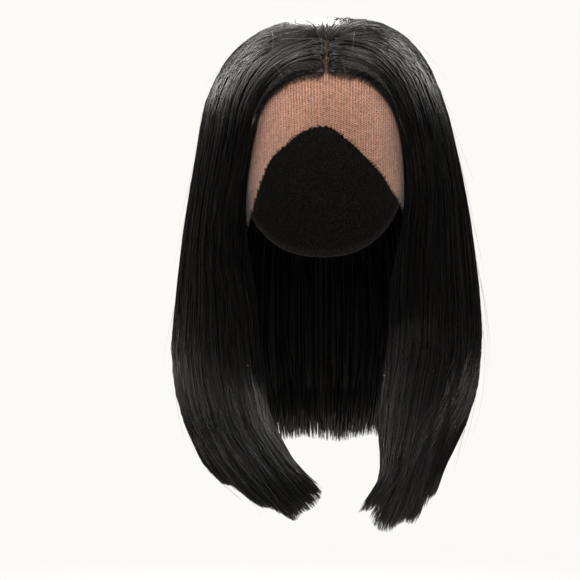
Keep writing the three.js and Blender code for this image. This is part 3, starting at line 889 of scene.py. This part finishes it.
# The hairs across the part: where they start and how they drift, in degrees, and how deep they lie
PART_HAIR_PITCH = 17
PART_HAIR_DRIFT = (-2.5, 0.5)
PART_HAIR_LATERAL = (0.7, 1.3)
PART_HAIR_DEPTH = (0.0015, 0.0045)
PART_HAIR_END_DEPTH = 0.4
PART_HAIR_WIDTHS = (0.00024, 0.6, 1.4)
PART_HAIR_TAPER = (0.6, 0.5)


def part_hairs(name, crown, count, seed):
    """The fine hairs that cross the part, low between its two sides."""
    draw = Draws(count, seed)
    way = evenly(SHORT_STEPS)
    pitch = draw.between(crown.whorl, crown.whorl + PART_HAIR_PITCH)
    pitch = pitch + draw.between(*PART_HAIR_DRIFT) * way
    side = draw.random.choice([-1, 1], (count, 1))
    lateral = side * draw.between(*PART_HAIR_LATERAL) * (1 - 2 * way)
    depth = draw.between(*PART_HAIR_DEPTH) * lerp(PART_HAIR_END_DEPTH, 1, np.sin(np.pi * way))
    lines = crown.at(toward(pitch, lateral), depth)
    return draw.strands(name, lines, PART_HAIR_WIDTHS, pointed(way, *PART_HAIR_TAPER))


# The light hairs over the crown: where they start, their length and bend, in degrees, and how far out
STRAY_PITCH = (-20, 50)
STRAY_LATERAL = (-50, 50)
STRAY_LENGTH = (10, 22)
STRAY_BEND = 15
STRAY_LIFT = 0.0012
STRAY_LEAST_LIFT = 0.0004
STRAY_WIDTHS = (0.00022, 0.7, 1.3)
STRAY_TAPER = (0.8, 0.6, (-0.2, 0.2))


def stray_hairs(name, crown, count, seed):
    """Single light hairs that lie across the others over the crown."""
    draw = Draws(count, seed)
    way = evenly(CROWN_STEPS)
    pitch = draw.between(*STRAY_PITCH)
    lateral = draw.between(*STRAY_LATERAL)
    turn = draw.between(-180, 180) + draw.around(STRAY_BEND) * way
    direction = crown.arcs(pitch, lateral, turn, draw.between(*STRAY_LENGTH) * way)
    depth = -STRAY_LIFT * draw.share() * np.sin(np.pi * way) - STRAY_LEAST_LIFT
    lines = crown.at(direction, depth)
    return draw.strands(name, lines, STRAY_WIDTHS, pointed(way, *STRAY_TAPER))


class Nodes:
    """The nodes of a material or a world. An input is a value, or the output that it comes from."""

    def __init__(self, owner):
        owner.use_nodes = True
        self.owner = owner
        self.nodes = owner.node_tree.nodes
        self.links = owner.node_tree.links

    def fill(self, node, inputs):
        for label, value in inputs.items():
            socket = node.inputs[label.replace("_", " ")]
            if isinstance(value, bpy.types.NodeSocket):
                self.links.new(value, socket)
            else:
                socket.default_value = value
        return node.outputs

    def add(self, kind, settings=None, **inputs):
        """Adds a node, and gives its outputs."""
        node = self.nodes.new("ShaderNode" + kind)
        for label, value in (settings or {}).items():
            setattr(node, label, value)
        return self.fill(node, inputs)

    def place(self):
        return self.add("TexCoord")["Object"]

    def ramp(self, source, stops):
        """A colour that runs through stops by a value."""
        node = self.nodes.new("ShaderNodeValToRGB")
        elements = node.color_ramp.elements
        while len(elements) < len(stops):
            elements.new(0.5)
        for element, (place, colour) in zip(elements, stops):
            element.position = place
            element.color = (*colour, 1)
        return self.fill(node, {"Fac": source})["Color"]

    def ranged(self, source, before, after=(0, 1), **settings):
        """A value brought from one range to another."""
        limits = dict(zip(("From Min", "From Max", "To Min", "To Max"), (*before, *after)))
        return self.add("MapRange", settings, Value=source, **limits)["Result"]

    def mixed(self, factor, colour, constant, blend="MIX"):
        """A colour mixed with a constant one, by a factor."""
        settings = {"data_type": "RGBA", "blend_type": blend}
        return self.add("Mix", settings, Factor=factor, A=colour, B=(*constant, 1))["Result"]

    def relief(self, height, strength, distance, invert=False):
        """Bumps in a surface, by a height."""
        settings = {"invert": invert}
        return self.add("Bump", settings, Height=height, Strength=strength, Distance=distance)["Normal"]

    def shaded(self, **inputs):
        """The material, once the inputs of its shader are filled."""
        self.fill(self.nodes["Principled BSDF"], inputs)
        return self.owner


def hair_material(name, stops, roughness):
    """Strands with a tone of their own, and with a roughness of their own, so that they shine apart."""
    tree = Nodes(bpy.data.materials.new(name))
    uv = tree.add("UVMap", {"uv_map": "strand"})["UV"]
    tone = tree.add("SeparateXYZ", Vector=uv)["X"]
    hashed = tree.add("TexWhiteNoise", {"noise_dimensions": "1D"}, W=tone)["Value"]
    rough = tree.ranged(hashed, (0, 1), roughness)
    return tree.shaded(IOR=1.5, Specular_IOR_Level=0.5, Base_Color=tree.ramp(tone, stops), Roughness=rough)


UNDER_STOPS = [(0.3, (0.002, 0.002, 0.002)), (0.7, (0.01, 0.009, 0.009))]
UNDER_SCALE = (900, 900, 12)
UNDER_RELIEF = (0.5, 0.0005)


def shell_material():
    """The hair between the strands, darker, with the fine lines of hair in its relief."""
    tree = Nodes(bpy.data.materials.new("under_hair"))
    stretched = tree.add("Mapping", Vector=tree.place(), Scale=UNDER_SCALE)["Vector"]
    noise = tree.add("TexNoise", Vector=stretched, Scale=1)["Fac"]
    colour = tree.ramp(noise, UNDER_STOPS)
    relief = tree.relief(noise, *UNDER_RELIEF)
    return tree.shaded(Base_Color=colour, Normal=relief, Roughness=0.6, Specular_IOR_Level=0.25)


def dress(piece, material, slot, *nodes):
    """Gives a piece its material and body, and hides the imported parts that it stands for."""
    piece.data.materials.append(material)
    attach(piece, "root")
    if nodes:
        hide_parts(*nodes)
    return piece


CURVE_STEPS = 400


def edge_pitch(edge, lateral):
    """The pitch of a net's free edge at lateral angles, by a smooth line through its rows."""
    fine = np.linspace(0, 1, CURVE_STEPS)
    line = spline(np.stack([edge["lateral"] * EAR_LATERAL, edge["pitch"]], axis=-1)[None], fine)
    return np.interp(lateral, line[:, 0], line[:, 1])


# The lace's net: the pitch of its upright threads and of its courses, their widths, and its teeth and seam
WALE_PITCH = 0.0019
WALE_STEPS = 56
COURSE_PITCH = 0.0013
WALE_WIDTH = 0.00165
LINK_WIDTH = 0.00095
EDGE_WIDTH = 0.0004
THREAD_FLATNESS = 0.22
EDGE_STEPS = 420
NET_START_PITCH = 38
NET_OVERLAP = 2
SEAM_CLEARANCE = 0.11
LACE_RADIUS = 0.084
TOOTH_SLOPE = 0.9
WALE_ZIGZAG = 0.1
LINK_SLANT = 0.1
FINE_STEPS = 2000


def edge_teeth(lateral):
    """How far the pinked teeth stand back from the lace's edge, in degrees of pitch."""
    pitch = math.degrees(TOOTH_PITCH / LACE_RADIUS)
    depth = math.degrees(TOOTH_DEPTH / LACE_RADIUS)
    slope = 1 + TOOTH_SLOPE * np.abs(np.gradient(edge_pitch(LACE_EDGE, lateral), lateral))
    tooth = np.abs((lateral * slope / pitch) % 1 - 0.5) * 2
    return np.where(np.abs(lateral) < TEETH_LATERAL, depth * tooth, 0)


def lace_wales():
    """The upright threads of the lace, which zigzag a little, and their lateral angles and ends."""
    step = math.degrees(WALE_PITCH / LACE_RADIUS)
    lateral = np.arange(-EAR_LATERAL, EAR_LATERAL + step / 2, step)
    fine = np.linspace(-EAR_LATERAL, EAR_LATERAL, FINE_STEPS)
    ends = edge_pitch(LACE_EDGE, lateral) - np.interp(lateral, fine, edge_teeth(fine))
    pitch = lerp(NET_START_PITCH, ends[:, None], evenly(WALE_STEPS))
    wave = WALE_ZIGZAG * step * np.where(np.arange(WALE_STEPS) % 2, 1, -1)[None]
    lines = over_head(pitch, lateral[:, None] + wave, NET_WALL / 2)
    tone = np.random.default_rng(5).random(len(lateral))
    taper = np.ones((1, WALE_STEPS))
    wales = strands("lace_wales", lines, WALE_WIDTH, taper, tone, THREAD_FLATNESS)
    return wales, lateral, ends


def lace_links(lateral, ends):
    """The short threads that link each upright thread to the next."""
    course = math.degrees(COURSE_PITCH / LACE_RADIUS)
    spans, pitches = [], []
    for index, (here, there) in enumerate(zip(lateral[:-1], lateral[1:])):
        last = min(ends[index], ends[index + 1])
        rows = np.arange(NET_START_PITCH + course * (index % 2) / 2, last, course)
        spans.append(np.broadcast_to([here, there], (len(rows), 2)))
        pitches.append(rows)
    pitch = np.concatenate(pitches)[:, None] + np.array([[-LINK_SLANT, LINK_SLANT]]) * course
    lines = over_head(pitch, np.concatenate(spans), NET_WALL / 2)
    tone = np.random.default_rng(6).random(len(lines))
    return strands("lace_links", lines, LINK_WIDTH, np.ones((1, 2)), tone, THREAD_FLATNESS)


def lace_edge():
    """The thread along the pinked edge, from temple to temple."""
    lateral = np.linspace(-EAR_LATERAL, EAR_LATERAL, EDGE_STEPS)
    pitch = edge_pitch(LACE_EDGE, lateral) - edge_teeth(lateral)
    lines = over_head(pitch, lateral, NET_WALL / 2)[None]
    return strands("lace_edge", lines, EDGE_WIDTH, np.ones((1, EDGE_STEPS)), np.array([0.5]))


def join(name, pieces):
    """Joins objects into the first, and names it."""
    bpy.ops.object.select_all(action="DESELECT")
    for piece in pieces:
        piece.select_set(True)
    bpy.context.view_layer.objects.active = pieces[0]
    bpy.ops.object.join()
    joined = bpy.context.view_layer.objects.active
    joined.name = joined.data.name = name
    return joined


def lace_net():
    """The lace that shows on the forehead and temples: upright threads with links between."""
    wales, lateral, ends = lace_wales()
    return join("lace_net", [wales, lace_links(lateral, ends), lace_edge()])


SHEET_COLUMNS = 73
SHEET_ROWS = 33
TOP_LACE_INSIDE = 0.0003
TOP_LACE_OUTSIDE = 0.0009


def net_sheet(name, seam, ends, inside, outside):
    """A thin closed sheet over the head, from a seam to its ends, between two offsets from the head."""
    pitch = lerp(seam, ends[None], np.linspace(0, 1, SHEET_ROWS)[:, None])
    lateral = np.broadcast_to(np.linspace(-EAR_LATERAL, EAR_LATERAL, SHEET_COLUMNS), pitch.shape)
    return wall_grid(name, over_head(pitch, lateral, outside), over_head(pitch, lateral, inside))


def lace_top():
    """The lace under the hair, from the seam with the cap to where the open net starts."""
    ends = edge_pitch(LACE_EDGE, np.linspace(-EAR_LATERAL, EAR_LATERAL, SHEET_COLUMNS))
    ends = np.minimum(ends, NET_START_PITCH + NET_OVERLAP)
    return net_sheet("lace_top", SEAM_PITCH + SEAM_CLEARANCE, ends, TOP_LACE_INSIDE, TOP_LACE_OUTSIDE)


def cap_sheet():
    """The stretch cap, from the seam with the lace to the nape."""
    ends = edge_pitch(CAP_EDGE, np.linspace(-EAR_LATERAL, EAR_LATERAL, SHEET_COLUMNS))
    return net_sheet("cap_net", SEAM_PITCH - SEAM_CLEARANCE, ends, 0, NET_WALL)


# The lace's colours, and in metres between which heights it is knotted, between which widths a painted
# shade darkens it towards the temples, and depths covered
LACE_STOPS = [(0.3, (0.4, 0.19, 0.12)), (0.7, (0.68, 0.35, 0.235))]
LACE_SCALE = 350
KNOTS = (-0.044, -0.036)
KNOTTED_COLOUR = (0.64, 0.41, 0.28)
PAINTED_SHADE_WIDTHS = (0.015, 0.065)
PAINTED_TEMPLE_SHADE = (0.5, 0.43, 0.4)
COVERED = (-0.07, -0.06)
COVERED_COLOUR = (0.012, 0.01, 0.009)


def lace_material():
    """Tan lace thread, uneven in colour, browner up under the hair where it is knotted, and darkened
    towards the temples by a painted shade.
    """
    tree = Nodes(bpy.data.materials.new("lace"))
    place = tree.place()
    noise = tree.add("TexNoise", Vector=place, Scale=LACE_SCALE, Detail=4)["Fac"]
    axes = tree.add("SeparateXYZ", Vector=place)
    sideways = tree.nodes.new("ShaderNodeMath")
    sideways.operation = "ABSOLUTE"
    tree.links.new(axes["X"], sideways.inputs[0])
    # Painted shade: the lace's colour is made darker towards the temples, where the hair shades it
    temple = tree.ranged(sideways.outputs["Value"], PAINTED_SHADE_WIDTHS)
    colour = tree.mixed(temple, tree.ramp(noise, LACE_STOPS), PAINTED_TEMPLE_SHADE, "MULTIPLY")
    colour = tree.mixed(tree.ranged(axes["Z"], KNOTS), colour, KNOTTED_COLOUR)
    colour = tree.mixed(tree.ranged(axes["Y"], COVERED), colour, COVERED_COLOUR)
    return tree.shaded(Base_Color=colour, Roughness=0.8, Specular_IOR_Level=0.25, Sheen_Weight=0.3)


CAP_STOPS = [(0.04, (0.07, 0.064, 0.06)), (0.3, (0.004, 0.004, 0.004))]
CAP_SCALE = 620
CAP_RELIEF = (0.7, 0.0004)


def cap_material():
    """Black stretch net: a fine grid of thread in its relief and tone."""
    tree = Nodes(bpy.data.materials.new("cap_net"))
    settings = {"feature": "DISTANCE_TO_EDGE"}
    cells = tree.add("TexVoronoi", settings, Vector=tree.place(), Scale=CAP_SCALE)["Distance"]
    colour = tree.ramp(cells, CAP_STOPS)
    relief = tree.relief(cells, *CAP_RELIEF, invert=True)
    return tree.shaded(Base_Color=colour, Normal=relief, Roughness=0.85, Specular_IOR_Level=0.3)


def set_camera():
    data = bpy.data.cameras.new("camera")
    data.sensor_width = SENSOR_WIDTH_MM
    data.lens = FOCAL_PIXELS / PICTURE_PIXELS * SENSOR_WIDTH_MM
    camera = bpy.data.objects.new("camera", data)
    camera.location = CAMERA_PLACE
    camera.rotation_euler = (math.pi / 2, 0, 0)
    bpy.context.scene.collection.objects.link(camera)
    bpy.context.scene.camera = camera


# The lights: their places and targets in metres, their two sizes in metres, power in watts, and spread
LIGHT_COLOUR = (1, 0.97, 0.94)
LIGHTS = [
    ("crown", (-0.1, 1, 0.92), (-0.01, -0.04, 0), (0.55, 0.6), 66, 180),
    ("key", (-0.6, -0.85, 1.75), (0, -0.02, -0.05), (0.9, 0.7), 34, 180),
    ("fill", (0.75, -0.75, 1.7), (0, -0.02, -0.05), (0.9, 0.9), 24, 180),
    ("side_left", (-1.45, 0.3, 1.2), (0, -0.02, -0.05), (0.8, 1.2), 62, 180),
    ("side_right", (1.5, 0.35, 1.25), (0, -0.02, -0.05), (0.7, 1.1), 46, 180),
    ("streak", (-1.3, -1, 0.25), (0.1, -0.08, -0.345), (0.1, 0.1), 0.055, 4.5),
    ("rear", (0.5, 1.4, 1.5), (0, 0.05, -0.15), (1, 0.8), 5, 180),
]


def area_light(name, place, target, size, power, spread):
    data = bpy.data.lights.new(name, "AREA")
    data.spread = math.radians(spread)
    data.shape = "RECTANGLE"
    data.size, data.size_y = size
    data.energy = power
    data.color = LIGHT_COLOUR
    light = bpy.data.objects.new(name, data)
    light.location = place
    light.rotation_euler = (Vector(target) - Vector(place)).to_track_quat("-Z", "Y").to_euler()
    bpy.context.scene.collection.objects.link(light)


# The floor, in metres: how low it lies, its radius, and where it fades out
FLOOR_COLOUR = (0.36, 0.355, 0.345, 1)
FLOOR_LEVEL = -0.62
FLOOR_RADIUS = 3
FLOOR_SIDES = 64
FLOOR_FADE = (0.6, 1.7)


def floor_material():
    """A pale matt floor, which fades out into the surround far from the object."""
    tree = Nodes(bpy.data.materials.new("floor"))
    away = tree.nodes.new("ShaderNodeVectorMath")
    away.operation = "LENGTH"
    tree.links.new(tree.place(), away.inputs[0])
    fade = tree.ranged(away.outputs["Value"], FLOOR_FADE, (1, 0), interpolation_type="SMOOTHSTEP")
    return tree.shaded(Base_Color=FLOOR_COLOUR, Roughness=0.9, Alpha=fade)


def set_stage():
    """A pale round floor."""
    turns = np.linspace(0, 2 * math.pi, FLOOR_SIDES + 1)[:-1]
    rim = FLOOR_RADIUS * np.stack([np.cos(turns), np.sin(turns), 0 * turns], axis=-1)
    points = np.concatenate([rim, [[0, 0, 0]]]) + [0, 0, FLOOR_LEVEL]
    index = np.arange(FLOOR_SIDES)
    faces = np.stack([index, np.roll(index, -1), np.full(FLOOR_SIDES, FLOOR_SIDES)], axis=-1)
    floor = mesh_object("floor", points, [], faces)
    floor.data.materials.append(floor_material())


# The surround: its colour, and its strength for what lights the hair and for the camera
WORLD_COLOUR = (1, 0.985, 0.96, 1)
WORLD_STRENGTHS = (0.07, 0.97)


def set_world():
    """A pale surround for the camera, and a dim one for what lights the hair."""
    world = bpy.data.worlds.new("studio")
    tree = Nodes(world)
    strength = tree.ranged(tree.add("LightPath")["Is Camera Ray"], (0, 1), WORLD_STRENGTHS)
    tree.fill(tree.nodes["Background"], {"Color": WORLD_COLOUR, "Strength": strength})
    bpy.context.scene.world = world
    bpy.context.scene.view_settings.view_transform = "Standard"


set_camera()
set_stage()
for row in LIGHTS:
    area_light(*row)
set_world()

# The hair's colours, from its darkest strands to its lightest
BLACK_STOPS = [(0, (0.001, 0.001, 0.001)), (0.7, (0.003, 0.0028, 0.0027)), (1, (0.013, 0.01, 0.009))]
DARK_STOPS = [(0, (0.001, 0.001, 0.001)), (1, (0.005, 0.004, 0.004))]
BROWN_STOPS = [(0, (0.014, 0.008, 0.006)), (0.6, (0.075, 0.032, 0.019)), (1, (0.19, 0.08, 0.048))]
LIGHT_STOPS = [(0, (0.03, 0.025, 0.02)), (1, (0.2, 0.16, 0.14))]

black = hair_material("hair", BLACK_STOPS, (0.2, 0.38))
glossy = hair_material("hair_crown", BLACK_STOPS, (0.17, 0.4))
dark = hair_material("hair_roots", DARK_STOPS, (0.6, 0.8))
brown = hair_material("hair_fuzz", BROWN_STOPS, (0.45, 0.6))
light = hair_material("hair_strays", LIGHT_STOPS, (0.3, 0.5))
under = shell_material()
lace = lace_material()
net = cap_material()

left_flow = panel_flow(LEFT_PANEL, -1, LEFT_DOME)
right_flow = panel_flow(RIGHT_PANEL, 1, RIGHT_DOME)
left = Hair(left_flow, LEFT_PANEL, LEFT_LOCK_ENDS, LEFT_TRIM, LEFT_FLARE, WHORL_ACROSS)
right = Hair(right_flow, RIGHT_PANEL, RIGHT_LOCK_ENDS, RIGHT_TRIM, RIGHT_FLARE, WHORL_ACROSS)
back = Hair(back_flow, BACK_CURTAIN, BACK_LOCK_ENDS)


# The short strands at the hairline: their count, widths, how far ahead of it they start, how far back
# they reach, and how deep they end. The single hairs: their count, how far out they reach, and where
ROOTS = (560, (0.00038, 0.6, 1.3), 0.03, (0.01, 0.05), 0.0012)
FUZZ = (300, (0.00026, 0.6, 1.3), 0.035, (-0.005, 0.01), 0.008)
FLYAWAYS = (76, 0.012, (0, 1))
WISPS = (16, 0.004, (-0.07, 0.01))


def dress_section(side, hair, outer, tips, inner, gather, seed):
    """One section of the hair: its mass, which stands for the solid, and the strands over it."""
    dress(shell(f"hair_{side}_mass", hair, seed), under, "hair", f"hair_{side}")
    dress(outer_strands(f"hair_{side}_outer", hair, outer, seed + 10), black, "hair")
    dress(tip_strands(f"hair_{side}_tips", hair, tips, gather, seed + 20), black, "hair")
    dress(inner_strands(f"hair_{side}_inner", hair, inner, seed + 30), black, "hair")
    dress(flyaways(f"hair_{side}_flyaways", hair, *FLYAWAYS, seed + 40), black, "hair")


def dress_hairline(side, hair, seed):
    """The dark roots, the brown fuzz and a few loose hairs along one side of the hairline."""
    dress(root_strands(f"hair_{side}_roots", hair, *ROOTS, seed + 50), dark, "hair")
    dress(root_strands(f"hair_{side}_fuzz", hair, *FUZZ, seed + 60), brown, "hair")
    dress(flyaways(f"hair_{side}_wisps", hair, *WISPS, seed + 70), black, "hair")


# Each section with how many outer, tip and inner strands it has, how its tips gather, and its seed
dress_section("left", left, 1380, 1000, 320, 0.7, 1)
dress_section("right", right, 1380, 1400, 320, 0.7, 2)
dress_section("back", back, 1620, 850, 440, 0.35, 3)
dress(sweep_strands("hair_right_sweep", right, 170, 62), black, "hair")
dress_hairline("left", left, 1)
dress_hairline("right", right, 2)

crown = Crown([left, right, back])
dress(crown_strands("hair_crown", crown, 900, 71), glossy, "hair")
dress(whorl_strands("hair_whorl", crown, 120, 72), dark, "hair")
dress(part_hairs("hair_part", crown, 75, 73), brown, "hair")
dress(stray_hairs("hair_strays", crown, 26, 74), light, "hair")

forehead_lace = dress(lace_net(), lace, "lace", "lace_front")
top_lace = dress(lace_top(), lace, "lace")
cap = dress(cap_sheet(), net, "cap_net", "cap")
